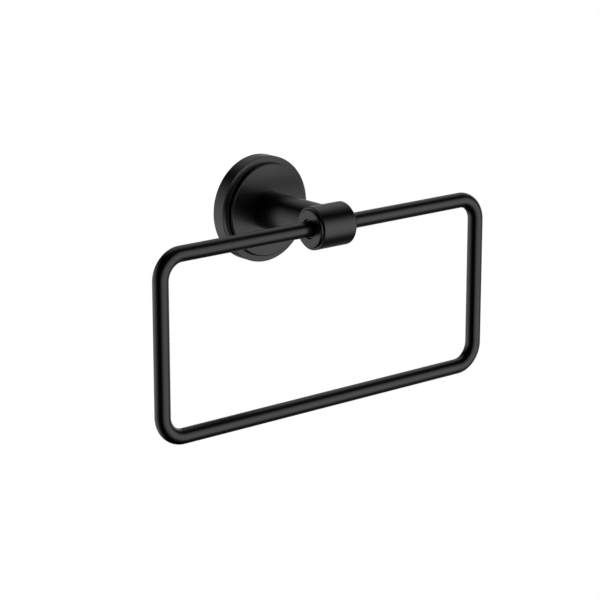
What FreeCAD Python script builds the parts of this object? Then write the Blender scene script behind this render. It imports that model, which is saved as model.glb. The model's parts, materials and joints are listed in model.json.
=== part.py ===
import FreeCAD, Part
import math
import os
import Sketcher
from FreeCAD import Placement, Rotation, Vector

# A wall-mounted towel ring, in millimetres.
# The wall is the plane y = 0 and the ring stands out of it towards -Y. +Z is up.
# The origin is the middle of the bracket's back face, and the post's axis runs through it.

# Driving dimensions: name, value in mm, meaning
SIZES = [
    ("rod_diameter", 8.0, "round rod that the ring is bent from"),
    ("ring_width", 215.9, "ring, outside, from side to side"),
    ("ring_drop", 91.55, "from the swing axis to the middle of the bottom bar"),
    ("corner_radius", 12.15, "bend radius at the middle of the rod"),
    ("ring_end_gap", 3.0, "between the two ends of the rod, inside the head"),
    ("axis_to_wall", 57.07, "from the wall to the swing axis"),
    ("rosette_diameter", 55.8, "rosette's flange"),
    ("rosette_flange", 7.87, "rosette's flange, from the wall to its face"),
    ("rosette_ledge", 3.5, "width of the flange outside the raised disc"),
    ("disc_rise", 3.2, "raised disc above the flange"),
    ("disc_edge_chamfer", 0.4, "chamfer of the raised disc's edge"),
    ("rosette_skirt", 5.9, "rosette's wall round the hollow in its back"),
    ("rosette_recess_depth", 7.2, "hollow in the rosette's back"),
    ("post_diameter", 19.9, "round post"),
    ("spigot_diameter", 12.0, "post's spigot, seated in the rosette"),
    ("spigot_length", 2.4, "post's spigot, length"),
    ("head_diameter", 22.16, "barrel at the end of the post"),
    ("head_length", 21.0, "barrel, without its end caps"),
    ("cap_diameter", 19.9, "raised disc of an end cap"),
    ("cap_rise", 1.4, "end cap's disc above the barrel's end"),
    ("cap_edge_chamfer", 0.6, "chamfer of an end cap's edge"),
    ("cap_spigot_diameter", 16.0, "part of an end cap inside the barrel"),
    ("cap_spigot_length", 2.5, "part of an end cap inside the barrel, length"),
    ("bush_diameter", 10.2, "sleeve that the rod turns in, outside"),
    ("bush_length", 7.5, "sleeve, length"),
    ("bush_setback", 1.0, "sleeve's end behind the cap's face"),
    ("bolt_diameter", 5.0, "tie bolt's shank"),
    ("bolt_head_diameter", 9.5, "tie bolt's button head"),
    ("bolt_head_height", 2.75, "tie bolt's button head, height"),
    ("bolt_head_rim", 0.7, "straight rim of the button head"),
    ("bolt_head_flat", 4.4, "flat top of the button head"),
    ("bolt_socket", 3.0, "tie bolt's hexagon socket, across flats"),
    ("bolt_socket_depth", 1.6, "tie bolt's hexagon socket, depth"),
    ("bolt_tip_setback", 0.4, "tie bolt's tip behind the wall of the head's bore"),
    ("bolt_tip_chamfer", 0.6, "chamfer of the tie bolt's tip"),
    ("bolt_passage", 0.3, "gap round the tie bolt in the post, rosette and washer"),
    ("washer_diameter", 11.0, "tie washer, outside"),
    ("washer_thickness", 1.0, "tie washer, thickness"),
    ("bracket_thickness", 6.6, "bracket that is screwed to the wall, thickness"),
    ("bracket_pocket_diameter", 12.0, "pocket in the bracket for the tie bolt's head"),
    ("bracket_web", 1.6, "bracket's wall behind that pocket"),
    ("bracket_gap", 0.5, "gap round the bracket, in the rosette's hollow"),
    ("screw_hole_diameter", 4.5, "wall screw hole"),
    ("screw_sink_diameter", 9.0, "countersink of a wall screw hole"),
    ("set_screw_diameter", 4.0, "set screw under the rosette"),
    ("set_screw_height", 3.6, "set screw's axis, from the wall"),
    ("set_screw_setback", 0.6, "set screw's outer end inside the rosette's edge"),
    ("set_screw_tip", 1.6, "set screw's flat tip, diameter"),
    ("set_screw_socket", 2.0, "set screw's hexagon socket, across flats"),
    ("set_screw_socket_depth", 1.8, "set screw's hexagon socket, depth"),
    ("running_clearance", 0.05, "gap round the rod in its sleeves"),
    ("seat_clearance", 0.02, "gap between pieces that are pressed or screwed together"),
]

doc = FreeCAD.newDocument("towel_ring")
sheet = doc.addObject("Spreadsheet::Sheet", "Sizes")


class Size:
    """A length that knows its number and how it follows from the sheet."""

    def __init__(self, number, text):
        self.number = number
        self.text = text

    def joined(self, other, sign, number):
        return Size(number, "({} {} {})".format(self.text, sign, other.text))

    def __add__(self, other):
        other = as_size(other)
        return self.joined(other, "+", self.number + other.number)

    def __sub__(self, other):
        other = as_size(other)
        return self.joined(other, "-", self.number - other.number)

    def __mul__(self, factor):
        factor = as_size(factor)
        return self.joined(factor, "*", self.number * factor.number)

    def __truediv__(self, factor):
        factor = as_size(factor)
        return self.joined(factor, "/", self.number / factor.number)

    def __neg__(self):
        return Size(-self.number, "(-1 * {})".format(self.text))


def as_size(thing):
    """Turns a plain number into a Size."""
    if isinstance(thing, Size):
        return thing
    return Size(float(thing), repr(float(thing)))


def fill_sheet():
    """Writes the driving dimensions and gives each cell its alias."""
    sheet.set("A1", "name")
    sheet.set("B1", "mm")
    sheet.set("C1", "meaning")
    sizes = {}
    for row, (name, number, meaning) in enumerate(SIZES, start=2):
        sheet.set("A{}".format(row), name)
        sheet.set("B{}".format(row), str(number))
        sheet.setAlias("B{}".format(row), name)
        sheet.set("C{}".format(row), meaning)
        sizes[name] = Size(number, "Sizes.{}".format(name))
    doc.recompute()
    return sizes


mm = fill_sheet()
NOTHING = as_size(0.0)

# Sizes that follow from the driving ones
rod_radius = mm["rod_diameter"] / 2
seat = mm["seat_clearance"]
rosette_radius = mm["rosette_diameter"] / 2
rosette_front = mm["rosette_flange"] + mm["disc_rise"]
disc_radius = rosette_radius - mm["rosette_ledge"]
recess_radius = rosette_radius - mm["rosette_skirt"]
bracket_radius = recess_radius - mm["bracket_gap"]
pocket_radius = mm["bracket_pocket_diameter"] / 2
screw_place = (pocket_radius + bracket_radius) / 2
head_radius = mm["head_diameter"] / 2
head_half = mm["head_length"] / 2
cap_front = head_half + mm["cap_rise"]
cap_spigot_radius = mm["cap_spigot_diameter"] / 2
bush_radius = mm["bush_diameter"] / 2
bore_radius = bush_radius + seat
bolt_radius = mm["bolt_diameter"] / 2
passage_radius = bolt_radius + mm["bolt_passage"]
tapped_radius = bolt_radius + seat
set_screw_radius = mm["set_screw_diameter"] / 2

# Two places nearer than this many millimetres count as one
SAME = 1e-4

# Ways to place a piece that is modelled along its own Z axis
OUT_OF_WALL = Rotation(Vector(1, 0, 0), 90)
TO_THE_RIGHT = Rotation(Vector(0, 1, 0), 90)
TO_THE_LEFT = Rotation(Vector(0, 1, 0), -90)
HANGING = Rotation(Vector(1, 0, 0), -90)


def bind(thing, name, size):
    """Sets a property or a constraint to a size, and ties it to the sheet."""
    thing.setExpression(name, size.text)


def new_body(name, rotation, y=NOTHING, z=NOTHING):
    """Makes an empty body, turned, with its origin at y and z from the wall's centre."""
    body = doc.addObject("PartDesign::Body", name)
    body.Label = name
    body.Placement = Placement(Vector(0, y.number, z.number), rotation)
    bind(body, "Placement.Base.y", y)
    bind(body, "Placement.Base.z", z)
    return body


def plane_of(body, role):
    """Finds one of a body's own origin planes."""
    return next(item for item in body.Origin.OriginFeatures if item.Role == role)


def new_sketch(body, name, role, offset=NOTHING):
    """Makes a sketch on one of the body's planes, raised by the offset."""
    sketch = body.newObject("Sketcher::SketchObject", name)
    sketch.AttachmentSupport = (plane_of(body, role), "")
    sketch.MapMode = "FlatFace"
    sketch.AttachmentOffset = Placement(Vector(0, 0, offset.number), Rotation())
    bind(sketch, "AttachmentOffset.Base.z", offset)
    return sketch


def fix_point(sketch, line, end, x, y):
    """Ties one end of a line, or a circle's centre, to its place in the sketch."""
    for kind, axis, size in (("DistanceX", -2, x), ("DistanceY", -1, y)):
        if size.number == 0.0:
            sketch.addConstraint(Sketcher.Constraint("PointOnObject", line, end, axis))
        else:
            number = sketch.addConstraint(Sketcher.Constraint(kind, -1, 1, line, end, size.number))
            bind(sketch, "Constraints[{}]".format(number), size)


def draw_outline(sketch, corners):
    """Draws a closed outline of straight lines through corners that the sheet drives."""
    points = [Vector(x.number, y.number, 0) for x, y in corners]
    count = len(points)
    for index in range(count):
        ahead = points[(index + 1) % count]
        sketch.addGeometry(Part.LineSegment(points[index], ahead), False)
    for index in range(count):
        sketch.addConstraint(Sketcher.Constraint("Coincident", index, 2, (index + 1) % count, 1))
    for index, (x, y) in enumerate(corners):
        fix_point(sketch, index, 1, x, y)


def draw_circle(sketch, radius, x=NOTHING, y=NOTHING):
    """Draws a circle whose radius and centre the sheet drives."""
    circle = Part.Circle(Vector(x.number, y.number, 0), Vector(0, 0, 1), radius.number)
    line = sketch.addGeometry(circle, False)
    number = sketch.addConstraint(Sketcher.Constraint("Radius", line, radius.number))
    bind(sketch, "Constraints[{}]".format(number), radius)
    fix_point(sketch, line, 3, x, y)


def draw_hexagon(sketch, across_flats):
    """Draws a hexagon about the sketch's origin, with two flats level."""
    half = across_flats / 2
    tip = across_flats / math.sqrt(3)
    slope = tip / 2
    corners = [(tip, NOTHING), (slope, half), (-slope, half)]
    corners += [(-tip, NOTHING), (-slope, -half), (slope, -half)]
    draw_outline(sketch, corners)


def turn(body, name, corners):
    """Turns a closed outline of (radius, height) corners about the body's Z axis."""
    sketch = new_sketch(body, name + "_outline", "XZ_Plane")
    draw_outline(sketch, corners)
    turned = body.newObject("PartDesign::Revolution", name)
    turned.Profile = sketch
    turned.ReferenceAxis = (sketch, ["V_Axis"])
    turned.Angle = 360
    doc.recompute()
    return turned


def cut(body, name, sketch, length, backwards=False, both_ways=False):
    """Cuts the sketch's shape out of the body, and checks that something came off."""
    before = body.Shape.Volume
    pocket = body.newObject("PartDesign::Pocket", name)
    pocket.Profile = sketch
    pocket.Type = "Length"
    bind(pocket, "Length", length)
    pocket.Midplane = both_ways
    pocket.Reversed = backwards
    doc.recompute()
    if body.Shape.Volume >= before:
        raise RuntimeError(name + " cuts nothing")
    return pocket


def circle_edges(shape, radius, height):
    """Names the round edges of a radius at a height along the body's Z axis."""
    names = []
    for number, edge in enumerate(shape.Edges, start=1):
        curve = edge.Curve
        if curve.TypeId != "Part::GeomCircle":
            continue
        if abs(curve.Radius - radius.number) > SAME:
            continue
        if abs(abs(curve.Center.z) - height.number) < SAME:
            names.append("Edge{}".format(number))
    return names


def chamfer_edge(body, name, radius, height, size):
    """Chamfers the edges of one radius at one height."""
    base = body.Tip
    shape = base.Shape.copy()
    chamfer = body.newObject("PartDesign::Chamfer", name)
    chamfer.Base = (base, circle_edges(shape, radius, height))
    bind(chamfer, "Size", size)
    doc.recompute()
    return chamfer


def make_wall_bracket():
    """The thick disc on the wall, with a pocket for the bolt's head and two countersunk holes."""
    body = new_body("wall_bracket", OUT_OF_WALL)
    thickness = mm["bracket_thickness"]
    turn(body, "bracket_disc", [
        (NOTHING, NOTHING),
        (bracket_radius, NOTHING),
        (bracket_radius, thickness),
        (pocket_radius, thickness),
        (pocket_radius, mm["bracket_web"]),
        (NOTHING, mm["bracket_web"]),
    ])
    places = new_sketch(body, "screw_places", "XY_Plane", thickness)
    for side in (-1, 1):
        draw_circle(places, mm["screw_hole_diameter"] / 2, x=screw_place * side)
    doc.recompute()
    before = body.Shape.Volume
    holes = body.newObject("PartDesign::Hole", "screw_holes")
    holes.Profile = places
    doc.recompute()
    holes.DepthType = "ThroughAll"
    holes.HoleCutType = "Countersink"
    holes.HoleCutCountersinkAngle = 90
    bind(holes, "Diameter", mm["screw_hole_diameter"])
    bind(holes, "HoleCutDiameter", mm["screw_sink_diameter"])
    doc.recompute()
    if body.Shape.Volume >= before:
        raise RuntimeError("screw_holes cuts nothing")
    return body


def make_rosette():
    """The stepped round cover, hollow at the back, with a seat for the post at the front."""
    body = new_body("rosette", OUT_OF_WALL)
    recess = mm["rosette_recess_depth"]
    flange = mm["rosette_flange"]
    seat_radius = mm["spigot_diameter"] / 2 + seat
    seat_floor = rosette_front - mm["spigot_length"] - seat
    turn(body, "rosette_cup", [
        (recess_radius, NOTHING),
        (rosette_radius, NOTHING),
        (rosette_radius, flange),
        (disc_radius, flange),
        (disc_radius, rosette_front),
        (seat_radius, rosette_front),
        (seat_radius, seat_floor),
        (passage_radius, seat_floor),
        (passage_radius, recess),
        (recess_radius, recess),
    ])
    chamfer_edge(body, "disc_chamfer", disc_radius, rosette_front, mm["disc_edge_chamfer"])
    place = new_sketch(body, "set_screw_place", "XZ_Plane")
    draw_circle(place, set_screw_radius + seat, y=mm["set_screw_height"])
    cut(body, "set_screw_thread", place, rosette_radius + seat, backwards=True)
    return body


def make_set_screw():
    """The grub screw, modelled from its tip to its socket, pointing down from the bracket."""
    height = mm["set_screw_height"]
    tip_radius = mm["set_screw_tip"] / 2
    tip_place = bracket_radius + seat
    body = new_body("set_screw", Rotation(Vector(1, 0, 0), 180), -height, -tip_place)
    length = rosette_radius - mm["set_screw_setback"] - tip_place
    cone = set_screw_radius - tip_radius
    turn(body, "set_screw_shank", [
        (NOTHING, NOTHING),
        (tip_radius, NOTHING),
        (set_screw_radius, cone),
        (set_screw_radius, length),
        (NOTHING, length),
    ])
    socket = new_sketch(body, "set_screw_hexagon", "XY_Plane", length)
    draw_hexagon(socket, mm["set_screw_socket"])
    cut(body, "set_screw_socket_cut", socket, mm["set_screw_socket_depth"])
    return body


def make_tie_bolt():
    """The button-head bolt that pulls the rosette, the post and the head together."""
    body = new_body("tie_bolt", OUT_OF_WALL)
    under_head = mm["rosette_recess_depth"] - mm["washer_thickness"]
    top = under_head - mm["bolt_head_height"]
    tip = mm["axis_to_wall"] - bore_radius - mm["bolt_tip_setback"]
    chamfer = mm["bolt_tip_chamfer"]
    turn(body, "bolt_turned", [
        (NOTHING, top),
        (mm["bolt_head_flat"] / 2, top),
        (mm["bolt_head_diameter"] / 2, under_head - mm["bolt_head_rim"]),
        (mm["bolt_head_diameter"] / 2, under_head),
        (bolt_radius, under_head),
        (bolt_radius, tip - chamfer),
        (bolt_radius - chamfer, tip),
        (NOTHING, tip),
    ])
    socket = new_sketch(body, "bolt_hexagon", "XY_Plane", top)
    draw_hexagon(socket, mm["bolt_socket"])
    cut(body, "bolt_socket_cut", socket, mm["bolt_socket_depth"], backwards=True)
    return body


def make_tie_washer():
    """The flat washer under the tie bolt's head."""
    body = new_body("tie_washer", OUT_OF_WALL)
    top = mm["rosette_recess_depth"]
    bottom = top - mm["washer_thickness"]
    turn(body, "washer_turned", [
        (passage_radius, bottom),
        (mm["washer_diameter"] / 2, bottom),
        (mm["washer_diameter"] / 2, top),
        (passage_radius, top),
    ])
    return body


def make_post():
    """The round post: a spigot in the rosette at one end, a saddle for the barrel at the other."""
    body = new_body("post", OUT_OF_WALL)
    post_radius = mm["post_diameter"] / 2
    spigot_radius = mm["spigot_diameter"] / 2
    turn(body, "post_turned", [
        (passage_radius, rosette_front - mm["spigot_length"]),
        (spigot_radius, rosette_front - mm["spigot_length"]),
        (spigot_radius, rosette_front),
        (post_radius, rosette_front),
        (post_radius, mm["axis_to_wall"]),
        (passage_radius, mm["axis_to_wall"]),
    ])
    saddle = new_sketch(body, "saddle_circle", "YZ_Plane")
    draw_circle(saddle, head_radius + seat, y=mm["axis_to_wall"])
    cut(body, "saddle_cut", saddle, mm["post_diameter"] + mm["head_diameter"], both_ways=True)
    return body


def make_head():
    """The barrel: one bore right through, an end cap's seat at each end, a tapped hole behind."""
    body = new_body("head", TO_THE_RIGHT, -mm["axis_to_wall"])
    seat_radius = cap_spigot_radius + seat
    seat_floor = head_half - mm["cap_spigot_length"] - seat
    turn(body, "head_turned", [
        (bore_radius, -seat_floor),
        (seat_radius, -seat_floor),
        (seat_radius, -head_half),
        (head_radius, -head_half),
        (head_radius, head_half),
        (seat_radius, head_half),
        (seat_radius, seat_floor),
        (bore_radius, seat_floor),
    ])
    place = new_sketch(body, "bolt_place", "XZ_Plane")
    draw_circle(place, tapped_radius)
    cut(body, "bolt_thread", place, head_radius)
    return body


def make_end_cap(name, rotation):
    """One end cap: a raised disc with a chamfered edge and a spigot inside the barrel."""
    body = new_body(name, rotation, -mm["axis_to_wall"])
    cap_radius = mm["cap_diameter"] / 2
    turn(body, name + "_turned", [
        (bore_radius, head_half - mm["cap_spigot_length"]),
        (cap_spigot_radius, head_half - mm["cap_spigot_length"]),
        (cap_spigot_radius, head_half),
        (cap_radius, head_half),
        (cap_radius, cap_front),
        (bore_radius, cap_front),
    ])
    chamfer_edge(body, name + "_chamfer", cap_radius, cap_front, mm["cap_edge_chamfer"])
    return body


def make_bush(name, rotation):
    """One plain sleeve, held in the barrel and the cap, that the rod turns in."""
    body = new_body(name, rotation, -mm["axis_to_wall"])
    outer_end = cap_front - mm["bush_setback"]
    inner_end = outer_end - mm["bush_length"]
    inside = rod_radius + mm["running_clearance"]
    turn(body, name + "_turned", [
        (inside, inner_end),
        (bush_radius, inner_end),
        (bush_radius, outer_end),
        (inside, outer_end),
    ])
    return body


def draw_half_ring(sketch):
    """Draws the middle of the rod from its end in the head to the middle of the bottom bar."""
    reach = (mm["ring_width"] - mm["rod_diameter"]) / 2
    bend = mm["corner_radius"]
    drop = mm["ring_drop"]
    end = mm["ring_end_gap"] / 2
    straight = reach - bend
    low = drop - bend

    def line(x1, y1, x2, y2):
        start = Vector(x1.number, y1.number, 0)
        sketch.addGeometry(Part.LineSegment(start, Vector(x2.number, y2.number, 0)), False)

    def bend_at(y, first, last):
        circle = Part.Circle(Vector(straight.number, y.number, 0), Vector(0, 0, 1), bend.number)
        sketch.addGeometry(Part.ArcOfCircle(circle, first, last), False)

    line(end, NOTHING, straight, NOTHING)
    bend_at(bend, -math.pi / 2, 0)
    line(reach, bend, reach, low)
    bend_at(low, 0, math.pi / 2)
    line(straight, drop, NOTHING, drop)

    sketch.addConstraint(Sketcher.Constraint("Tangent", 0, 2, 1, 1))
    sketch.addConstraint(Sketcher.Constraint("Tangent", 1, 2, 2, 1))
    sketch.addConstraint(Sketcher.Constraint("Tangent", 2, 2, 3, 1))
    sketch.addConstraint(Sketcher.Constraint("Tangent", 3, 2, 4, 1))
    sketch.addConstraint(Sketcher.Constraint("Horizontal", 0))
    sketch.addConstraint(Sketcher.Constraint("Vertical", 2))
    fix_point(sketch, 0, 1, end, NOTHING)
    fix_point(sketch, 4, 2, NOTHING, drop)
    for arc in (1, 3):
        number = sketch.addConstraint(Sketcher.Constraint("Radius", arc, bend.number))
        bind(sketch, "Constraints[{}]".format(number), bend)
    number = sketch.addConstraint(Sketcher.Constraint("DistanceX", -1, 1, 2, 1, reach.number))
    bind(sketch, "Constraints[{}]".format(number), reach)


def make_ring():
    """The bent rod: one half swept along its middle line, then mirrored."""
    body = new_body("ring", HANGING, -mm["axis_to_wall"])
    path = new_sketch(body, "ring_middle_line", "XY_Plane")
    draw_half_ring(path)
    section = new_sketch(body, "rod_section", "YZ_Plane", mm["ring_end_gap"] / 2)
    draw_circle(section, rod_radius)
    doc.recompute()
    half = body.newObject("PartDesign::AdditivePipe", "half_ring")
    half.Profile = section
    half.Spine = (path, ["Edge{}".format(number) for number in range(1, 6)])
    doc.recompute()
    whole = body.newObject("PartDesign::Mirrored", "whole_ring")
    whole.Originals = [half]
    whole.MirrorPlane = (plane_of(body, "YZ_Plane"), [""])
    body.Tip = whole
    doc.recompute()
    return body


pieces = [
    make_wall_bracket(),
    make_rosette(),
    make_set_screw(),
    make_tie_bolt(),
    make_tie_washer(),
    make_post(),
    make_head(),
]
for side, rotation in (("left", TO_THE_LEFT), ("right", TO_THE_RIGHT)):
    pieces.append(make_end_cap("end_cap_" + side, rotation))
    pieces.append(make_bush("bush_" + side, rotation))
pieces.append(make_ring())

doc.recompute()
for item in doc.Objects:
    if "Invalid" in item.State or "Error" in item.State:
        raise RuntimeError("{} did not build: {}".format(item.Name, item.State))
for piece in pieces:
    if piece.Shape.isNull() or not piece.Shape.isValid():
        raise RuntimeError("{} has no valid shape".format(piece.Label))
    if len(piece.Shape.Solids) != 1:
        raise RuntimeError("{} has {} solids".format(piece.Label, len(piece.Shape.Solids)))

os.makedirs("parts", exist_ok=True)
for piece in pieces:
    piece.Shape.exportStep("parts/{}.step".format(piece.Label))
    box = piece.Shape.BoundBox
    print("{:15} {:10.1f} mm3".format(piece.Label, piece.Shape.Volume))
    print("    x {:7.2f} to {:7.2f}".format(box.XMin, box.XMax))
    print("    y {:7.2f} to {:7.2f}".format(box.YMin, box.YMax))
    print("    z {:7.2f} to {:7.2f}".format(box.ZMin, box.ZMax))
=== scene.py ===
# %% [markdown]
# # A matte black towel ring
# The real thing is a ring of bent round rod that hangs in a short barrel. The barrel sits on a round
# post, and the post on a stepped rosette that hides the bracket on the wall. Everything that shows is
# turned or bent metal under one thin satin coating, so the lesson is about turned shapes, small edge
# roundings, and a black surface that is drawn only by what it reflects.
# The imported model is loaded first. It says where every piece sits.

import json
import math

import bpy
from mathutils import Matrix, Vector


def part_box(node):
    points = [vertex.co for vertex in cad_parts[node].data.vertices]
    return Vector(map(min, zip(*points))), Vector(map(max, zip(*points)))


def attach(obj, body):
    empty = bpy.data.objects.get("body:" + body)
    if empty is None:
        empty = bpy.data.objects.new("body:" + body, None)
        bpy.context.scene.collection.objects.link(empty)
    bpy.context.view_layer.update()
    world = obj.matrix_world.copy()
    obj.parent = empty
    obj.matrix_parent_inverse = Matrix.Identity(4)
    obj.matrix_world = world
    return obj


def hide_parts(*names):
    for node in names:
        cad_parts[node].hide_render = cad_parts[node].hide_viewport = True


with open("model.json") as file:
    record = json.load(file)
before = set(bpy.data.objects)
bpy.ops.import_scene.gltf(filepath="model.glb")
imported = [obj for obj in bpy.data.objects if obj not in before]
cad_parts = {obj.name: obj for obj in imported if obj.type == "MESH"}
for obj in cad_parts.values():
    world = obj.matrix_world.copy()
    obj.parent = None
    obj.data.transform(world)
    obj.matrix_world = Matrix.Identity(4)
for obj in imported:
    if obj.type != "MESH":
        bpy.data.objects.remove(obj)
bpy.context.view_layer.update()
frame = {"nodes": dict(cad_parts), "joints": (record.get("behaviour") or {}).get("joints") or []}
print("nodes:", sorted(frame["nodes"]))

# %% [markdown]
# Blender works in metres and a drawing in millimetres, so each size is written in millimetres and
# multiplied once. The wall is the plane y = 0 and the ring stands out of it towards -Y. The outer
# sizes of a piece are read from the box of its node in the frame, and only what the box can't tell is
# written as a number, in the cell where it is first needed.

# %% Tools for reading sizes
MM = 0.001
X, Y, Z = range(3)


def rounded(length):
    """Rounds a length in metres to a hundredth of a millimetre."""
    return round(length / MM, 2) * MM


def nearest(node, axis):
    """Says how near to the origin a node begins along one axis."""
    return rounded(min(abs(corner[axis]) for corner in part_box(node)))


def farthest(node, axis):
    """Says how far from the origin a node reaches along one axis."""
    return rounded(max(abs(corner[axis]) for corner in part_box(node)))


RING_SWING = next(joint for joint in frame["joints"] if joint["name"] == "ring_swing")
AXIS_TO_WALL = rounded(-RING_SWING["pos_m"][Y])
print("the ring swings about an axis", round(AXIS_TO_WALL / MM, 2), "mm from the wall")

# %% [markdown]
# By hand, edges are picked with the mouse. Here they are picked by their place: an edge is wanted when
# both its ends lie on the right circle. Operators work on all that is selected, so everything is
# deselected first.

# %% Tools for selecting
SAME_PLACE = 0.001 * MM


def deselect_all():
    """Leaves nothing selected, in object mode."""
    if bpy.context.object and bpy.context.object.mode != "OBJECT":
        bpy.ops.object.mode_set(mode="OBJECT")
    bpy.ops.object.select_all(action="DESELECT")


def pick(piece):
    """Makes one piece the active one, with nothing else selected."""
    deselect_all()
    piece.select_set(True)
    bpy.context.view_layer.objects.active = piece


def apply_place():
    """Moves the place, the turn and the scale of the picked piece into its mesh."""
    bpy.ops.object.transform_apply(location=True, rotation=True, scale=True)


def enter_edit(kind, action):
    """Goes into edit mode to work on edges or faces, with all or none of them selected."""
    bpy.ops.object.mode_set(mode="EDIT")
    bpy.ops.mesh.select_mode(type=kind)
    bpy.ops.mesh.select_all(action=action)


def is_loop(points, step):
    """True for an edge that lies on the circle of one (radius, height) step."""
    radius, height = step
    return all(
        abs(math.hypot(point.x, point.y) - radius) < SAME_PLACE and abs(point.z - height) < SAME_PLACE
        for point in points
    )


def select_loops(piece, steps):
    """Selects the circles of edges at some (radius, height) steps, and says how many edges it found."""
    enter_edit("EDGE", "DESELECT")
    bpy.ops.object.mode_set(mode="OBJECT")
    mesh = piece.data
    found = 0
    for edge in mesh.edges:
        points = [mesh.vertices[index].co for index in edge.vertices]
        edge.select = any(is_loop(points, step) for step in steps)
        found += edge.select
    bpy.ops.object.mode_set(mode="EDIT")
    return found


# %% [markdown]
# A turned piece is made on a lathe from a profile. By hand in Blender it starts as a circle. Its edge
# is extruded, scaled to the next radius and moved to the next height, again and again, and the last
# loop is bridged to the first. Each loop stays a clean ring of edges, which bevels well.

# %% A tool for turned pieces
SEGMENTS = 128


def turn_profile(name, profile, segments=SEGMENTS, solid=False):
    """Turns a profile of (radius, height) steps about the Z axis, by extruding a circle.

    A hollow piece is closed by a bridge from its last step to its first. A solid one has both filled.
    """
    deselect_all()
    radius, height = profile[0]
    bpy.ops.mesh.primitive_circle_add(vertices=segments, radius=radius, location=(0, 0, height))
    piece = bpy.context.object
    piece.name = name
    apply_place()
    enter_edit("EDGE", "SELECT")
    for next_radius, next_height in profile[1:]:
        rise = (0, 0, next_height - height)
        bpy.ops.mesh.extrude_region_move(TRANSFORM_OT_translate={"value": rise})
        share = next_radius / radius
        middle = (0, 0, next_height)
        bpy.ops.transform.resize(value=(share, share, 1), center_override=middle)
        radius, height = next_radius, next_height
    ends = (profile[0], profile[-1])
    if solid:
        for end in ends:
            select_loops(piece, [end])
            bpy.ops.mesh.edge_face_add()
    else:
        select_loops(piece, ends)
        bpy.ops.mesh.bridge_edge_loops()
    bpy.ops.mesh.select_all(action="SELECT")
    bpy.ops.mesh.normals_make_consistent(inside=False)
    bpy.ops.object.mode_set(mode="OBJECT")
    print(name, "turned:", len(profile), "steps,", len(piece.data.polygons), "faces")
    return piece


# %% [markdown]
# No edge of a real part is quite sharp, and a black part shows its form mostly by the thin lights on its
# rounded edges, so each edge that shows gets a bevel of its own size. A piece is turned about Z and then
# laid where it belongs: out of the wall, or across the end of the post.

# %% Tools for rounding and placing
def round_loop(piece, step, size, segments=4):
    """Rounds the circle of edges at one (radius, height) step."""
    found = select_loops(piece, [step])
    bpy.ops.mesh.bevel(offset=size, offset_type="OFFSET", segments=segments, profile=0.5, affect="EDGES")
    bpy.ops.object.mode_set(mode="OBJECT")
    print("   ", piece.name, "edge of", found, "sides rounded by", round(size / MM, 3), "mm")


def stand_out(piece):
    """Lays a piece that was turned about Z along the post's axis, out of the wall."""
    place(piece, Matrix.Rotation(math.radians(90), 4, "X"))


def lie_across(piece, side=1):
    """Lays a piece that was turned about Z along the barrel's axis, to one side."""
    turned = Matrix.Rotation(math.radians(90 * side), 4, "Y")
    place(piece, Matrix.Translation((0, -AXIS_TO_WALL, 0)) @ turned)


def place(piece, matrix):
    """Puts a piece where it belongs and leaves its object at the origin, unturned and unscaled."""
    pick(piece)
    piece.matrix_world = matrix
    apply_place()


# %% [markdown]
# Holes across a turned piece are cut with a Boolean modifier and a cutter that is thrown away. After
# that the piece is shaded smooth up to an angle, and a Weighted Normal modifier keeps its large flat
# faces flat right up to the small roundings, as they are on machined metal.

# %% Tools for cutting and finishing
SMOOTH_ANGLE = math.radians(35)
ALONG_X = (0, math.radians(90), 0)
ALONG_Y = (math.radians(90), 0, 0)
ALONG_Z = (0, 0, 0)


def make_cutter(radius, length, middle, direction=ALONG_Z, sides=64):
    """Adds a plain cylinder that is only used to cut with."""
    deselect_all()
    bpy.ops.mesh.primitive_cylinder_add(
        vertices=sides, radius=radius, depth=length, location=middle, rotation=direction
    )
    return bpy.context.object


def cut_away(piece, cutter):
    """Takes the cutter's shape out of the piece, and the cutter out of the scene."""
    before = len(piece.data.polygons)
    modifier = piece.modifiers.new("cut", "BOOLEAN")
    modifier.operation = "DIFFERENCE"
    modifier.solver = "EXACT"
    modifier.object = cutter
    pick(piece)
    bpy.ops.object.modifier_apply(modifier=modifier.name)
    bpy.data.objects.remove(cutter)
    print("   ", piece.name, "cut:", before, "->", len(piece.data.polygons), "faces")


def finish_piece(piece, body, slot, *nodes):
    """Shades a piece, and says what it rides on, what it stands for and what it is finished in."""
    pick(piece)
    bpy.ops.object.shade_smooth_by_angle(angle=SMOOTH_ANGLE)
    modifier = piece.modifiers.new("flat faces", "WEIGHTED_NORMAL")
    modifier.keep_sharp = True
    bpy.ops.object.modifier_apply(modifier=modifier.name)
    piece.data.materials.clear()
    piece.data.materials.append(MATERIALS[slot])
    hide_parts(*nodes)
    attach(piece, body)
    compare_with_node(piece, nodes[0])


def compare_with_node(piece, node):
    """Prints how far the piece's box is from its CAD node's box."""
    low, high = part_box(node)
    corners = [vertex.co for vertex in piece.data.vertices]
    own_low = Vector(min(corner[axis] for corner in corners) for axis in (X, Y, Z))
    own_high = Vector(max(corner[axis] for corner in corners) for axis in (X, Y, Z))
    off = max(abs(value) for value in (*(own_low - low), *(own_high - high)))
    print("   ", piece.name, "is within", round(off / MM, 3), "mm of its node's box")


# %% [markdown]
# ## The finishes
# The coating is a thin, smooth, satin black film, such as a fine powder coat. Up close it has a very
# fine, shallow orange peel, and it is a little glossier in some places than in others. Both come from
# one shader group that gives a colour, a roughness and a height. The shader itself stays in each
# material. A noise seldom leaves its middle values, so these are spread over the whole roughness.

# %% A group for a fine surface grain
GRAIN_DETAIL = 2
CLOUD_DETAIL = 3
CLOUD_LOW = 0.3
CLOUD_HIGH = 0.7


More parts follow.
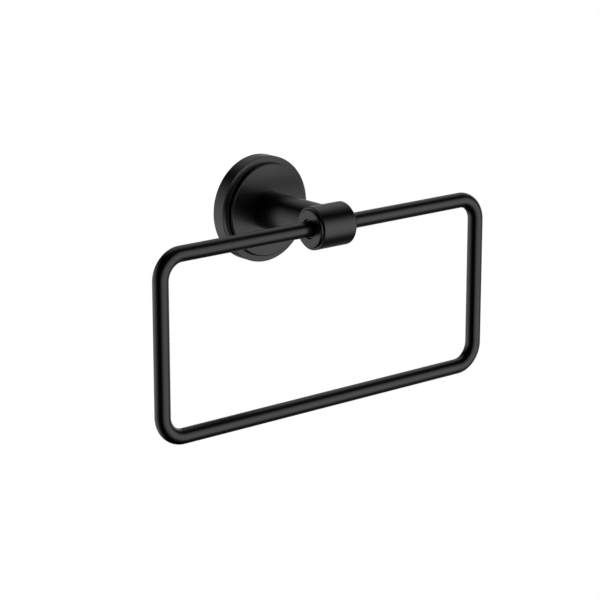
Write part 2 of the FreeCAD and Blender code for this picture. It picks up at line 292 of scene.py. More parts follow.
def build_grain_group():
    """Makes the group: two sizes of noise give a colour between two, a roughness and a height."""
    group = bpy.data.node_groups.new("fine_grain", "ShaderNodeTree")
    for name, kind in (
        ("Grain Scale", "NodeSocketFloat"),
        ("Cloud Scale", "NodeSocketFloat"),
        ("Smoothest", "NodeSocketFloat"),
        ("Roughest", "NodeSocketFloat"),
        ("Dark", "NodeSocketColor"),
        ("Light", "NodeSocketColor"),
    ):
        group.interface.new_socket(name=name, in_out="INPUT", socket_type=kind)
    for name, kind in (
        ("Color", "NodeSocketColor"),
        ("Roughness", "NodeSocketFloat"),
        ("Height", "NodeSocketFloat"),
    ):
        group.interface.new_socket(name=name, in_out="OUTPUT", socket_type=kind)
    nodes, links = group.nodes, group.links
    given = nodes.new("NodeGroupInput").outputs
    made = nodes.new("NodeGroupOutput").inputs
    where = nodes.new("ShaderNodeTexCoord").outputs["Object"]

    def add_noise(scale, detail):
        """Adds a noise of one size and gives its value."""
        noise = nodes.new("ShaderNodeTexNoise")
        noise.inputs["Detail"].default_value = detail
        links.new(where, noise.inputs["Vector"])
        links.new(given[scale], noise.inputs["Scale"])
        return noise.outputs["Fac"]

    grain = add_noise("Grain Scale", GRAIN_DETAIL)
    cloud = add_noise("Cloud Scale", CLOUD_DETAIL)

    gloss = nodes.new("ShaderNodeMapRange")
    gloss.inputs["From Min"].default_value = CLOUD_LOW
    gloss.inputs["From Max"].default_value = CLOUD_HIGH
    links.new(cloud, gloss.inputs["Value"])
    links.new(given["Smoothest"], gloss.inputs["To Min"])
    links.new(given["Roughest"], gloss.inputs["To Max"])

    tint = nodes.new("ShaderNodeMix")
    tint.data_type = "RGBA"
    links.new(grain, tint.inputs["Factor"])
    links.new(given["Dark"], tint.inputs["A"])
    links.new(given["Light"], tint.inputs["B"])

    links.new(tint.outputs["Result"], made["Color"])
    links.new(gloss.outputs["Result"], made["Roughness"])
    links.new(grain, made["Height"])
    return group


FINE_GRAIN = build_grain_group()
print("group", FINE_GRAIN.name, "with", len(FINE_GRAIN.nodes), "nodes")

# %% [markdown]
# Each finish is the same group with its own values: two colours, two roughnesses and the scales of the
# two noises. A bump of a given strength and depth follows the grain. The shader keeps its plain values,
# such as Metallic, on its own sockets.

# %% A tool for materials
REFRACTION = 1.5
MATERIALS = {}


def build_finish(name, grain, bump, bump_depth, metallic):
    """Makes one finish: the grain group feeds the colour, the roughness and a small bump."""
    material = bpy.data.materials.new(name)
    material.use_nodes = True
    nodes, links = material.node_tree.nodes, material.node_tree.links
    shader = nodes["Principled BSDF"]
    shader.inputs["Metallic"].default_value = metallic
    shader.inputs["IOR"].default_value = REFRACTION
    surface = nodes.new("ShaderNodeGroup")
    surface.node_tree = FINE_GRAIN
    for socket, value in grain.items():
        surface.inputs[socket].default_value = value
    relief = nodes.new("ShaderNodeBump")
    relief.inputs["Strength"].default_value = bump
    relief.inputs["Distance"].default_value = bump_depth
    links.new(surface.outputs["Color"], shader.inputs["Base Color"])
    links.new(surface.outputs["Roughness"], shader.inputs["Roughness"])
    links.new(surface.outputs["Height"], relief.inputs["Height"])
    links.new(relief.outputs["Normal"], shader.inputs["Normal"])
    MATERIALS[name] = material
    print("finish", name, "with roughness", grain["Smoothest"], "to", grain["Roughest"])


# %% [markdown]
# The black coating is almost without colour, so nearly all that it shows is reflected light. It and the
# nylon of the sleeves are plain dielectrics, and Metallic stays 0.

# %% The coating and the nylon
build_finish("matte_black", {
    "Dark": (0.0005, 0.0005, 0.0006, 1),
    "Light": (0.0012, 0.0012, 0.0013, 1),
    "Smoothest": 0.25,
    "Roughest": 0.30,
    "Grain Scale": 2600,
    "Cloud Scale": 45,
}, bump=0.02, bump_depth=0.02 * MM, metallic=0)
build_finish("sleeve_plastic", {
    "Dark": (0.004, 0.004, 0.004, 1),
    "Light": (0.008, 0.008, 0.008, 1),
    "Smoothest": 0.38,
    "Roughest": 0.48,
    "Grain Scale": 1800,
    "Cloud Scale": 120,
}, bump=0.10, bump_depth=0.03 * MM, metallic=0)

# %% [markdown]
# The hidden hardware is bare metal, so Metallic is 1 and the colour is that of its reflections: a dull
# zinc bracket, blackened screws and a brighter washer.

# %% The bare metals
build_finish("bracket_zinc", {
    "Dark": (0.42, 0.43, 0.44, 1),
    "Light": (0.58, 0.59, 0.60, 1),
    "Smoothest": 0.30,
    "Roughest": 0.46,
    "Grain Scale": 900,
    "Cloud Scale": 90,
}, bump=0.15, bump_depth=0.03 * MM, metallic=1)
build_finish("blackened_steel", {
    "Dark": (0.030, 0.029, 0.028, 1),
    "Light": (0.060, 0.058, 0.055, 1),
    "Smoothest": 0.28,
    "Roughest": 0.42,
    "Grain Scale": 1500,
    "Cloud Scale": 150,
}, bump=0.10, bump_depth=0.02 * MM, metallic=1)
build_finish("bright_steel", {
    "Dark": (0.50, 0.50, 0.51, 1),
    "Light": (0.64, 0.64, 0.65, 1),
    "Smoothest": 0.20,
    "Roughest": 0.32,
    "Grain Scale": 1200,
    "Cloud Scale": 150,
}, bump=0.08, bump_depth=0.02 * MM, metallic=1)

# %% [markdown]
# ## The rosette
# It is a turned cup: a flange against the wall, a raised disc on it, and a hollow at the back for the
# bracket. The edge of the disc is clearly rounded in the photo, and a thin hollow rounding runs where
# the disc meets the flange. A small threaded hole for the set screw comes in from below.

# %% Rosette
SEAT_GAP = 0.02 * MM
ROSETTE_RADIUS = farthest("rosette", X)
ROSETTE_FRONT = farthest("rosette", Y)
FLANGE = 7.87 * MM
DISC_RADIUS = 24.4 * MM
RECESS_RADIUS = 22.0 * MM
RECESS_DEPTH = farthest("tie_washer", Y)
PASSAGE_RADIUS = 2.8 * MM
SPIGOT_RADIUS = 6.0 * MM
SPIGOT_END = nearest("post", Y)
SEAT_RADIUS = SPIGOT_RADIUS + SEAT_GAP
SEAT_FLOOR = SPIGOT_END - SEAT_GAP
DISC_EDGE_ROUNDING = 0.7 * MM
DISC_FOOT_ROUNDING = 0.4 * MM
RIM_ROUNDING = 0.35 * MM
BACK_EDGE_ROUNDING = 0.15 * MM
rosette = turn_profile("stepped_rosette", [
    (RECESS_RADIUS, 0.0),
    (ROSETTE_RADIUS, 0.0),
    (ROSETTE_RADIUS, FLANGE),
    (DISC_RADIUS, FLANGE),
    (DISC_RADIUS, ROSETTE_FRONT),
    (SEAT_RADIUS, ROSETTE_FRONT),
    (SEAT_RADIUS, SEAT_FLOOR),
    (PASSAGE_RADIUS, SEAT_FLOOR),
    (PASSAGE_RADIUS, RECESS_DEPTH),
    (RECESS_RADIUS, RECESS_DEPTH),
], segments=192)
round_loop(rosette, (DISC_RADIUS, ROSETTE_FRONT), DISC_EDGE_ROUNDING, segments=8)
round_loop(rosette, (DISC_RADIUS, FLANGE), DISC_FOOT_ROUNDING)
round_loop(rosette, (ROSETTE_RADIUS, FLANGE), RIM_ROUNDING)
round_loop(rosette, (ROSETTE_RADIUS, 0.0), BACK_EDGE_ROUNDING, segments=2)

# %% [markdown]
# The set screw's hole is cut while the rosette still lies on its back. What will be the underside then
# points to -Y. The cutter starts in the hollow and ends outside the rim.

# %% Hole for the set screw
SET_SCREW_RADIUS = farthest("set_screw", X)
SET_SCREW_HEIGHT = (nearest("set_screw", Y) + farthest("set_screw", Y)) / 2
SET_SCREW_HOLE_MIDDLE = 26 * MM
SET_SCREW_HOLE_LENGTH = 10 * MM
set_screw_hole = make_cutter(
    SET_SCREW_RADIUS + SEAT_GAP,
    SET_SCREW_HOLE_LENGTH,
    (0, -SET_SCREW_HOLE_MIDDLE, SET_SCREW_HEIGHT),
    ALONG_Y,
    sides=40,
)
cut_away(rosette, set_screw_hole)
stand_out(rosette)
finish_piece(rosette, "wall_part", "matte_black", "rosette")

# %% [markdown]
# ## The post
# The post is a plain turned bar. One end has a spigot that sits in the rosette. The other end is cut
# to a saddle that fits the barrel, so it is trimmed with a cylinder of the barrel's size.

# %% Post
POST_RADIUS = farthest("post", X)
POST_FOOT_ROUNDING = 0.15 * MM
HEAD_RADIUS = farthest("head", Z)
SADDLE_LENGTH = 60 * MM
post = turn_profile("round_post", [
    (PASSAGE_RADIUS, SPIGOT_END),
    (SPIGOT_RADIUS, SPIGOT_END),
    (SPIGOT_RADIUS, ROSETTE_FRONT),
    (POST_RADIUS, ROSETTE_FRONT),
    (POST_RADIUS, AXIS_TO_WALL),
    (PASSAGE_RADIUS, AXIS_TO_WALL),
])
round_loop(post, (POST_RADIUS, ROSETTE_FRONT), POST_FOOT_ROUNDING, segments=3)
saddle = make_cutter(HEAD_RADIUS + SEAT_GAP, SADDLE_LENGTH, (0, 0, AXIS_TO_WALL), ALONG_X, sides=256)
cut_away(post, saddle)
stand_out(post)
finish_piece(post, "wall_part", "matte_black", "post")

# %% [markdown]
# ## The barrel and its end caps
# The barrel is a short tube across the end of the post. Its bore holds the sleeves, and a wider step at
# each end takes the spigot of a cap.

# %% Barrel
HEAD_HALF = farthest("head", X)
CAP_SPIGOT_RADIUS = 8.0 * MM
CAP_SPIGOT_END = nearest("end_cap_right", X)
CAP_SEAT_RADIUS = CAP_SPIGOT_RADIUS + SEAT_GAP
CAP_SEAT_FLOOR = CAP_SPIGOT_END - SEAT_GAP
SLEEVE_RADIUS = farthest("bush_right", Z)
BORE_RADIUS = SLEEVE_RADIUS + SEAT_GAP
BARREL_EDGE_ROUNDING = 0.5 * MM
head = turn_profile("barrel", [
    (BORE_RADIUS, -CAP_SEAT_FLOOR),
    (CAP_SEAT_RADIUS, -CAP_SEAT_FLOOR),
    (CAP_SEAT_RADIUS, -HEAD_HALF),
    (HEAD_RADIUS, -HEAD_HALF),
    (HEAD_RADIUS, HEAD_HALF),
    (CAP_SEAT_RADIUS, HEAD_HALF),
    (CAP_SEAT_RADIUS, CAP_SEAT_FLOOR),
    (BORE_RADIUS, CAP_SEAT_FLOOR),
], segments=160)
for end in (-HEAD_HALF, HEAD_HALF):
    round_loop(head, (HEAD_RADIUS, end), BARREL_EDGE_ROUNDING, segments=6)
lie_across(head)

# %% [markdown]
# The tie bolt comes through the post, so its hole goes through the barrel's wall on that side only.

# %% Hole for the tie bolt
BOLT_RADIUS = 2.5 * MM
BOLT_HOLE_SHIFT = 9 * MM
BOLT_HOLE_LENGTH = 10 * MM
bolt_hole_middle = (0, BOLT_HOLE_SHIFT - AXIS_TO_WALL, 0)
cut_away(head, make_cutter(BOLT_RADIUS + SEAT_GAP, BOLT_HOLE_LENGTH, bolt_hole_middle, ALONG_Y, sides=48))
finish_piece(head, "wall_part", "matte_black", "head")

# %% [markdown]
# The two caps are one turned shape, laid to the left and to the right. Each stands out from the barrel
# with a strongly rounded edge, and its hole is wider than the rod. The sleeve that the rod turns in ends
# a little way inside that hole, so a dark ring shows round the rod.

# %% End caps
CAP_RADIUS = farthest("end_cap_right", Z)
CAP_FRONT = farthest("end_cap_right", X)
CAP_EDGE_ROUNDING = 0.95 * MM
CAP_HOLE_ROUNDING = 0.12 * MM
for side, name in ((-1, "left"), (1, "right")):
    cap = turn_profile("raised_cap_" + name, [
        (BORE_RADIUS, CAP_SPIGOT_END),
        (CAP_SPIGOT_RADIUS, CAP_SPIGOT_END),
        (CAP_SPIGOT_RADIUS, HEAD_HALF),
        (CAP_RADIUS, HEAD_HALF),
        (CAP_RADIUS, CAP_FRONT),
        (BORE_RADIUS, CAP_FRONT),
    ], segments=160)
    round_loop(cap, (CAP_RADIUS, CAP_FRONT), CAP_EDGE_ROUNDING, segments=10)
    round_loop(cap, (BORE_RADIUS, CAP_FRONT), CAP_HOLE_ROUNDING, segments=3)
    lie_across(cap, side)
    finish_piece(cap, "wall_part", "matte_black", "end_cap_" + name)

# %% [markdown]
# ## The sleeves
# Two plain nylon sleeves carry the rod, with a running gap that is thinner than a sheet of paper. Only
# their outer ends can be seen, a millimetre inside the caps' holes, so the edges there are eased. The
# rod's own radius is how far the ring reaches above its axis.

# %% Sleeves
ROD_RADIUS = rounded(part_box("ring")[1].z)
RUNNING_GAP = 0.05 * MM
SLEEVE_BORE = ROD_RADIUS + RUNNING_GAP
SLEEVE_INNER_END = nearest("bush_right", X)
SLEEVE_OUTER_END = farthest("bush_right", X)
SLEEVE_MOUTH_ROUNDING = 0.25 * MM
SLEEVE_EDGE_ROUNDING = 0.15 * MM
for side, name in ((-1, "left"), (1, "right")):
    sleeve = turn_profile("sleeve_" + name, [
        (SLEEVE_BORE, SLEEVE_INNER_END),
        (SLEEVE_RADIUS, SLEEVE_INNER_END),
        (SLEEVE_RADIUS, SLEEVE_OUTER_END),
        (SLEEVE_BORE, SLEEVE_OUTER_END),
    ])
    round_loop(sleeve, (SLEEVE_BORE, SLEEVE_OUTER_END), SLEEVE_MOUTH_ROUNDING, segments=2)
    round_loop(sleeve, (SLEEVE_RADIUS, SLEEVE_OUTER_END), SLEEVE_EDGE_ROUNDING, segments=2)
    lie_across(sleeve, side)
    finish_piece(sleeve, "wall_part", "sleeve_plastic", "bush_" + name)

# %% [markdown]
# ## The ring
# The ring is one straight bar that was bent four times. The model is made the same way: a disc at one
# end of the bar inside the barrel, extruded along each straight run and spun through each bend. Both
# ends of the bar have a small chamfer, which is a short run to a wider disc or to a narrower one.

# %% Tools for bending a rod
ROD_SIDES = 72
BEND_STEPS = 28
BEND_AXIS = (0, -1, 0)
QUARTER_TURN = math.radians(90)


def run_on(move):
    """Extrudes the selected end of the rod along one straight run."""
    bpy.ops.mesh.extrude_region_move(TRANSFORM_OT_translate={"value": move})


def bend_on(centre):
    """Spins the selected end of the rod through a quarter turn about a centre."""
    bpy.ops.mesh.spin(steps=BEND_STEPS, angle=QUARTER_TURN, center=centre, axis=BEND_AXIS)


def widen_end(share, end_x):
    """Makes the selected end of the rod wider or narrower about the barrel's axis."""
    bpy.ops.transform.resize(value=(1, share, share), center_override=(end_x, -AXIS_TO_WALL, 0))


# %% First end of the bar
RING_END = 1.5 * MM
END_CHAMFER = 0.5 * MM
end_share = ROD_RADIUS / (ROD_RADIUS - END_CHAMFER)
deselect_all()
bpy.ops.mesh.primitive_circle_add(
    vertices=ROD_SIDES,
    radius=ROD_RADIUS - END_CHAMFER,
    fill_type="NGON",
    location=(RING_END, -AXIS_TO_WALL, 0),
    rotation=ALONG_X,
)
ring = bpy.context.object
ring.name = "bent_rod_ring"
apply_place()
enter_edit("FACE", "SELECT")
run_on((END_CHAMFER, 0, 0))
widen_end(end_share, RING_END)
print("the bar starts", round(RING_END / MM, 2), "mm from the middle of the barrel")

# %% [markdown]
# The bar goes out to the right, down, all the way across, up, and back in from the left. Its last face
# is still selected after each step, so the next step goes on from there.

# %% Runs and bends
RING_REACH = farthest("ring", X) - ROD_RADIUS
RING_DROP = farthest("ring", Z) - ROD_RADIUS
BEND_RADIUS = 12.15 * MM
MERGE_DISTANCE = 0.0001 * MM
bend_out = RING_REACH - BEND_RADIUS
bend_low = BEND_RADIUS - RING_DROP
half_run = bend_out - RING_END - END_CHAMFER
side_run = RING_DROP - 2 * BEND_RADIUS
for run, (bend_x, bend_z) in (
    ((half_run, 0, 0), (bend_out, -BEND_RADIUS)),
    ((0, 0, -side_run), (bend_out, bend_low)),
    ((-2 * bend_out, 0, 0), (-bend_out, bend_low)),
    ((0, 0, side_run), (-bend_out, -BEND_RADIUS)),
):
    run_on(run)
    bend_on((bend_x, -AXIS_TO_WALL, bend_z))
run_on((half_run, 0, 0))
run_on((END_CHAMFER, 0, 0))
widen_end(1 / end_share, -RING_END)
bpy.ops.mesh.select_all(action="SELECT")
bpy.ops.mesh.remove_doubles(threshold=MERGE_DISTANCE)
bpy.ops.mesh.normals_make_consistent(inside=False)
bpy.ops.object.mode_set(mode="OBJECT")
print("ring:", len(ring.data.polygons), "faces")
finish_piece(ring, "ring_part", "matte_black", "ring")

# %% [markdown]
# ## The hidden hardware
# The bracket on the wall, the tie bolt with its washer, and the set screw don't show from the front.
# The bracket's back is seen from the wall side, and the set screw's socket from below.
# The bracket is a solid turned disc with a pocket for the bolt's head and two countersunk holes for the
# wall screws. The set screw's tip bears on its rim.

# %% Bracket
BRACKET_RADIUS = farthest("wall_bracket", X)
BRACKET_THICKNESS = farthest("wall_bracket", Y)
BRACKET_POCKET_RADIUS = 6.0 * MM
BRACKET_WEB = 1.6 * MM
BRACKET_EDGE_ROUNDING = 0.2 * MM
bracket = turn_profile("wall_plate", [
    (BRACKET_POCKET_RADIUS, BRACKET_WEB),
    (BRACKET_POCKET_RADIUS, BRACKET_THICKNESS),
    (BRACKET_RADIUS, BRACKET_THICKNESS),
    (BRACKET_RADIUS, 0.0),
], solid=True)
for edge in (
    (BRACKET_RADIUS, BRACKET_THICKNESS),
    (BRACKET_RADIUS, 0.0),
    (BRACKET_POCKET_RADIUS, BRACKET_THICKNESS),
):
    round_loop(bracket, edge, BRACKET_EDGE_ROUNDING, segments=2)

# %% [markdown]
# Each wall screw's hole is cut twice: right through with a cylinder, and then with a cone for the
# screw's head. A cutter that ends exactly on a face leaves scraps, so the cone ends a little above it.

# %% Holes for the wall screws
WALL_SCREW_PLACE = 13.75 * MM
WALL_SCREW_HOLE_RADIUS = 2.25 * MM
WALL_SCREW_CUT_LENGTH = 30 * MM
SINK_RADIUS = 4.5 * MM
OVERSHOOT = 0.1 * MM
sink_depth = SINK_RADIUS - WALL_SCREW_HOLE_RADIUS + OVERSHOOT
sink_height = BRACKET_THICKNESS + OVERSHOOT - sink_depth / 2
for hole_x in (-WALL_SCREW_PLACE, WALL_SCREW_PLACE):
    cut_away(bracket, make_cutter(WALL_SCREW_HOLE_RADIUS, WALL_SCREW_CUT_LENGTH, (hole_x, 0, 0)))
    deselect_all()
    bpy.ops.mesh.primitive_cone_add(
        vertices=64,
        radius1=WALL_SCREW_HOLE_RADIUS,
        radius2=SINK_RADIUS + OVERSHOOT,
        depth=sink_depth,
        location=(hole_x, 0, sink_height),
    )
    cut_away(bracket, bpy.context.object)
stand_out(bracket)
finish_piece(bracket, "wall_part", "bracket_zinc", "wall_bracket")

# %% [markdown]
# A thread is too fine to see the slope of its helix here, so it is turned as a row of sharp rings. The
# hexagon sockets are cut with a cylinder that has six sides.

# %% Tools for screws
def thread_steps(outer, inner, pitch, start, end):
    """Gives the (radius, height) steps of the thread rings that fit between start and end."""
    count = int((end - start) / pitch)
    steps = []
    for turn in range(count):
        steps.append((outer, start + turn * pitch))
        steps.append((inner, start + (turn + 0.5) * pitch))
    steps.append((outer, start + count * pitch))
    return steps


def cut_socket(screw, across_flats, mouth, depth):
    """Cuts a hexagon socket into the lower end of a screw that was turned about Z."""
    length = depth + OVERSHOOT
    middle = (0, 0, mouth + length / 2 - OVERSHOOT)
    cut_away(screw, make_cutter(across_flats / math.sqrt(3), length, middle, sides=6))


# %% [markdown]
# The tie bolt goes in from behind and pulls the rosette, the post and the barrel together. Its button
# head reaches into the bracket's pocket. The dome of the head is three steps, each a radius and a drop
# from the top in millimetres.

# %% Tie bolt
BOLT_HEAD_RADIUS = farthest("tie_bolt", X)
BOLT_TOP = nearest("tie_bolt", Y)
BOLT_TIP = farthest("tie_bolt", Y)
UNDER_HEAD = nearest("tie_washer", Y)
BOLT_HEAD_DOME = ((2.2, 0.0), (3.3, 0.32), (4.2, 1.05))
BOLT_HEAD_RIM = 0.7 * MM
BOLT_ROOT_RADIUS = 2.05 * MM
BOLT_PITCH = 0.8 * MM
BOLT_THREAD_START = 43.0 * MM
BOLT_TIP_RADIUS = 2.0 * MM
BOLT_TIP_LENGTH = 0.4 * MM
BOLT_SOCKET_WIDTH = 3.0 * MM
BOLT_SOCKET_DEPTH = 1.6 * MM
bolt = turn_profile("button_head_bolt", [
    *((radius * MM, BOLT_TOP + drop * MM) for radius, drop in BOLT_HEAD_DOME),
    (BOLT_HEAD_RADIUS, UNDER_HEAD - BOLT_HEAD_RIM),
    (BOLT_HEAD_RADIUS, UNDER_HEAD),
    (BOLT_RADIUS, UNDER_HEAD),
    *thread_steps(
        BOLT_RADIUS, BOLT_ROOT_RADIUS, BOLT_PITCH, BOLT_THREAD_START, BOLT_TIP - BOLT_TIP_LENGTH
    ),
    (BOLT_TIP_RADIUS, BOLT_TIP),
], segments=64, solid=True)
cut_socket(bolt, BOLT_SOCKET_WIDTH, BOLT_TOP, BOLT_SOCKET_DEPTH)
stand_out(bolt)
finish_piece(bolt, "wall_part", "blackened_steel", "tie_bolt")

# %% [markdown]
# A plain washer lies on the floor of the rosette's hollow, and spreads the pull of the bolt's head.

# %% Washer
WASHER_RADIUS = farthest("tie_washer", X)
WASHER_EDGE_ROUNDING = 0.15 * MM
washer = turn_profile("bolt_washer", [
    (PASSAGE_RADIUS, UNDER_HEAD),
    (WASHER_RADIUS, UNDER_HEAD),
    (WASHER_RADIUS, RECESS_DEPTH),
    (PASSAGE_RADIUS, RECESS_DEPTH),
], segments=96)
round_loop(washer, (WASHER_RADIUS, UNDER_HEAD), WASHER_EDGE_ROUNDING, segments=3)
stand_out(washer)
finish_piece(washer, "wall_part", "bright_steel", "tie_washer")

# %% [markdown]
# The set screw stands upright already, with its socket at the bottom and its blunt tip up, so a move out
# of the wall is all that it needs.

# %% Set screw
SET_SCREW_END = -farthest("set_screw", Z)
SET_SCREW_TIP = -nearest("set_screw", Z)
SET_SCREW_MOUTH_RADIUS = 1.7 * MM
SET_SCREW_MOUTH_LENGTH = 0.3 * MM
SET_SCREW_ROOT_RADIUS = 1.68 * MM
SET_SCREW_PITCH = 0.7 * MM
SET_SCREW_CONE_RADIUS = 0.8 * MM
SET_SCREW_CONE_LENGTH = 1.2 * MM
SET_SCREW_SOCKET_WIDTH = 2.0 * MM
SET_SCREW_SOCKET_DEPTH = 1.8 * MM
thread_start = SET_SCREW_END + SET_SCREW_MOUTH_LENGTH
thread_end = SET_SCREW_TIP - SET_SCREW_CONE_LENGTH
set_screw = turn_profile("grub_screw", [
    (SET_SCREW_MOUTH_RADIUS, SET_SCREW_END),
    *thread_steps(SET_SCREW_RADIUS, SET_SCREW_ROOT_RADIUS, SET_SCREW_PITCH, thread_start, thread_end),
    (SET_SCREW_CONE_RADIUS, SET_SCREW_TIP),
], segments=64, solid=True)
cut_socket(set_screw, SET_SCREW_SOCKET_WIDTH, SET_SCREW_END, SET_SCREW_SOCKET_DEPTH)
place(set_screw, Matrix.Translation((0, -SET_SCREW_HEIGHT, 0)))
finish_piece(set_screw, "wall_part", "blackened_steel", "set_screw")

# %% [markdown]
# ## The studio
# A black satin surface has hardly any colour of its own, so the light is what draws it. The photo's
# reflections tell where the light came from: a wide, low soft box in front and to the right, a second
# one at the back left, a weaker one high at the back right, a faint glow from below on the right, and
# darkness to the left of the camera. A small panel at the side only helps other views. Each is a
# soft-edged oval on the sky, made by one group that measures how far a direction is from its middle.

# %% A group for a soft panel of light
def add_math(nodes, operation, *values):
    """Adds one math node. Its inputs are sockets to link, or plain numbers."""
    node = nodes.new("ShaderNodeMath")
    node.operation = operation
    for socket, value in zip(node.inputs, values):
        if isinstance(value, bpy.types.NodeSocket):
            nodes.id_data.links.new(value, socket)
        else:
            socket.default_value = value
    return node.outputs["Value"]


def build_panel_group():
    """Makes the group: 1 at the middle of an oval panel of the sky, 0 outside it, with a soft edge."""
    group = bpy.data.node_groups.new("soft_panel", "ShaderNodeTree")
    for name in ("Azimuth", "Elevation", "Half Width", "Half Height", "Softness"):
        group.interface.new_socket(name=name, in_out="INPUT", socket_type="NodeSocketFloat")
    group.interface.new_socket(name="Mask", in_out="OUTPUT", socket_type="NodeSocketFloat")
    nodes, links = group.nodes, group.links
    given = nodes.new("NodeGroupInput").outputs
    made = nodes.new("NodeGroupOutput").inputs
    direction = nodes.new("ShaderNodeTexCoord").outputs["Generated"]

    level = nodes.new("ShaderNodeVectorRotate")
    level.rotation_type = "Z_AXIS"
    links.new(direction, level.inputs["Vector"])
    links.new(add_math(nodes, "MULTIPLY", given["Azimuth"], -1), level.inputs["Angle"])
    facing = nodes.new("ShaderNodeVectorRotate")
    facing.rotation_type = "X_AXIS"
    links.new(level.outputs["Vector"], facing.inputs["Vector"])
    links.new(given["Elevation"], facing.inputs["Angle"])
    parts = nodes.new("ShaderNodeSeparateXYZ")
    links.new(facing.outputs["Vector"], parts.inputs["Vector"])

    ahead = add_math(nodes, "MULTIPLY", parts.outputs["Y"], -1)
    across = add_math(nodes, "ARCTAN2", parts.outputs["X"], ahead)
    upward = add_math(nodes, "ARCSINE", parts.outputs["Z"])
    wide = add_math(nodes, "DIVIDE", across, given["Half Width"])
    high = add_math(nodes, "DIVIDE", upward, given["Half Height"])
    square = add_math(nodes, "MULTIPLY_ADD", wide, wide, add_math(nodes, "MULTIPLY", high, high))
    distance = add_math(nodes, "SQRT", square)

    fade = nodes.new("ShaderNodeMapRange")
    fade.interpolation_type = "SMOOTHSTEP"
    fade.inputs["To Min"].default_value = 1
    fade.inputs["To Max"].default_value = 0
    links.new(distance, fade.inputs["Value"])
    links.new(add_math(nodes, "SUBTRACT", 1, given["Softness"]), fade.inputs["From Min"])
    links.new(add_math(nodes, "ADD", 1, given["Softness"]), fade.inputs["From Max"])
    links.new(fade.outputs["Result"], made["Mask"])
    return group


SOFT_PANEL = build_panel_group()
print("group", SOFT_PANEL.name, "with", len(SOFT_PANEL.nodes), "nodes")

# %% [markdown]
# The angles of a panel are in degrees: its azimuth from -Y towards +X, its elevation, its half width and
# its half height. Its softness and its strength come last. The rest of the sky gives only a faint fill.

# %% The panels
PANELS = {
    "front soft box": (20, -5, 43, 36, 0.50, 1.58),
    "back left soft box": (-143, -17, 34, 35, 0.77, 1.17),
    "high back right": (134, 49, 24, 26, 0.98, 0.77),
    "low right": (107, -33, 47, 19, 0.43, 0.14),
    "right side": (112, 0, 16, 30, 0.35, 0.80),
}
FILL = 0.001

world = bpy.data.worlds.new("studio")
bpy.context.scene.world = world
world.use_nodes = True
sky_nodes, sky_links = world.node_tree.nodes, world.node_tree.links
sky_nodes.clear()


def add_panel(name, azimuth, elevation, half_width, half_height, softness):
    """Places one soft panel on the sky and gives its mask."""
    panel = sky_nodes.new("ShaderNodeGroup")
    panel.node_tree = SOFT_PANEL
    panel.label = name
    panel.inputs["Azimuth"].default_value = math.radians(azimuth)
    panel.inputs["Elevation"].default_value = math.radians(elevation)
    panel.inputs["Half Width"].default_value = math.radians(half_width)
    panel.inputs["Half Height"].default_value = math.radians(half_height)
    panel.inputs["Softness"].default_value = softness
    return panel.outputs["Mask"]


light = FILL
for name, (*shape, strength) in PANELS.items():
    light = add_math(sky_nodes, "MULTIPLY_ADD", add_panel(name, *shape), strength, light)
print("sky with", len(PANELS), "soft panels")

# %% [markdown]
# The camera sees white all round, and so would anything seen through glass. A reflection sees the white
# too, but only where the backdrop stands, behind the object: that gives the thin highlights where the
# surface turns away from the camera. White all round would wash the black out to grey, and the photo's
# dark bands show that its studio was dark. The backdrop is placed like a panel.

# %% The white backdrop
WHITE = (1, 1, 1, 1)
BACKDROP = (136, -8, 20, 20, 0.56)
BACKDROP_STRENGTH = 1.0
BACKDROP_GLOSS = 0.62


def seen_straight(nodes, rays):
    """Gives 1 for a ray from the camera or through glass, and 0 for any other."""
    return add_math(nodes, "MAXIMUM", rays["Is Camera Ray"], rays["Is Transmission Ray"])


studio = sky_nodes.new("ShaderNodeBackground")
studio.inputs["Color"].default_value = WHITE
sky_links.new(light, studio.inputs["Strength"])
backdrop = sky_nodes.new("ShaderNodeBackground")
backdrop.inputs["Color"].default_value = WHITE
backdrop.inputs["Strength"].default_value = BACKDROP_STRENGTH
sky_rays = sky_nodes.new("ShaderNodeLightPath").outputs
straight = seen_straight(sky_nodes, sky_rays)
behind = add_math(sky_nodes, "MULTIPLY", add_panel("backdrop", *BACKDROP), BACKDROP_GLOSS)
mirrored = add_math(sky_nodes, "MULTIPLY", sky_rays["Is Glossy Ray"], behind)
choose = sky_nodes.new("ShaderNodeMixShader")
sky_links.new(add_math(sky_nodes, "MAXIMUM", straight, mirrored), choose.inputs["Fac"])
sky_links.new(studio.outputs["Background"], choose.inputs[1])
sky_links.new(backdrop.outputs["Background"], choose.inputs[2])
sky = sky_nodes.new("ShaderNodeOutputWorld")
sky_links.new(choose.outputs["Shader"], sky.inputs["Surface"])
print("white backdrop of strength", BACKDROP_STRENGTH, "behind the object")

# %% [markdown]
# The object hangs on a wall, so the floor lies well below it. It is pale, it keeps the soft shadow, and
# for the camera it glows a little, so that it meets the white background without an edge. No floor shows
# in the underside of the real ring, so reflections don't see this one.

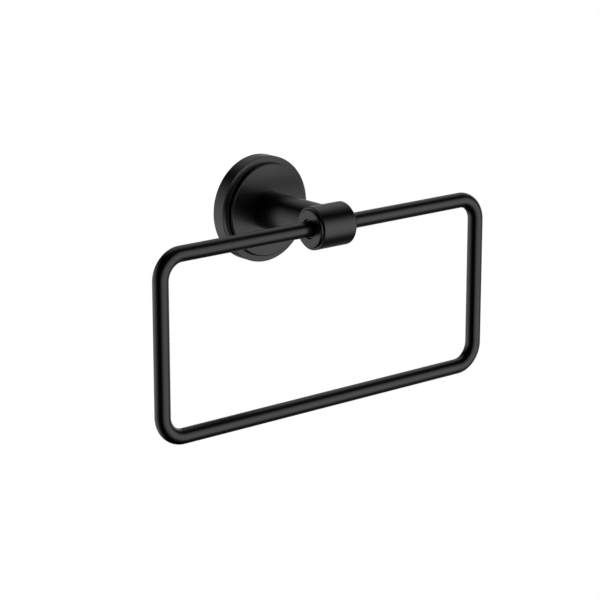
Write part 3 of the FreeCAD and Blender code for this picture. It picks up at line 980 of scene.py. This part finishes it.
# %% Floor
FLOOR_HEIGHT = -0.35
FLOOR_RADIUS = 0.20
FLOOR_COLOR = (0.8, 0.8, 0.8, 1)
FLOOR_ROUGHNESS = 0.9
FLOOR_GLOW = 0.85
deselect_all()
bpy.ops.mesh.primitive_circle_add(
    vertices=128, radius=FLOOR_RADIUS, fill_type="NGON", location=(0, -AXIS_TO_WALL, FLOOR_HEIGHT)
)
floor = bpy.context.object
floor.name = "floor"
apply_place()
pale = bpy.data.materials.new("pale_floor")
pale.use_nodes = True
pale_nodes, pale_links = pale.node_tree.nodes, pale.node_tree.links
pale_shader = pale_nodes["Principled BSDF"].inputs
pale_shader["Base Color"].default_value = FLOOR_COLOR
pale_shader["Roughness"].default_value = FLOOR_ROUGHNESS
pale_shader["Emission Color"].default_value = WHITE
pale_rays = pale_nodes.new("ShaderNodeLightPath").outputs
glow = add_math(pale_nodes, "MULTIPLY", seen_straight(pale_nodes, pale_rays), FLOOR_GLOW)
pale_links.new(glow, pale_shader["Emission Strength"])
floor.data.materials.append(pale)
floor.visible_glossy = False
print("floor at", FLOOR_HEIGHT, "m")

# %% [markdown]
# ## The camera
# It stands to the left of the object and above it, and looks down at 15 degrees. The long lens gives
# the photo's slight perspective. With these values, the outlines of the model fall on the photo's.

# %% Camera
CAMERA_PLACE = (-0.71078, -0.88825, 0.25596)
CAMERA_DOWN = 15.0806
CAMERA_TURN = -39.8287
LENS = 134.009
SENSOR_WIDTH = 36
NEAREST_SEEN = 0.01
FARTHEST_SEEN = 100
camera_data = bpy.data.cameras.new("camera")
camera = bpy.data.objects.new("camera", camera_data)
bpy.context.scene.collection.objects.link(camera)
bpy.context.scene.camera = camera
camera.location = CAMERA_PLACE
camera.rotation_euler = (math.radians(90 - CAMERA_DOWN), 0, math.radians(CAMERA_TURN))
camera_data.lens = LENS
camera_data.sensor_width = SENSOR_WIDTH
camera_data.clip_start = NEAREST_SEEN
camera_data.clip_end = FARTHEST_SEEN
bpy.context.scene.view_settings.view_transform = "Standard"
print("camera at", CAMERA_PLACE, "with a", LENS, "mm lens")
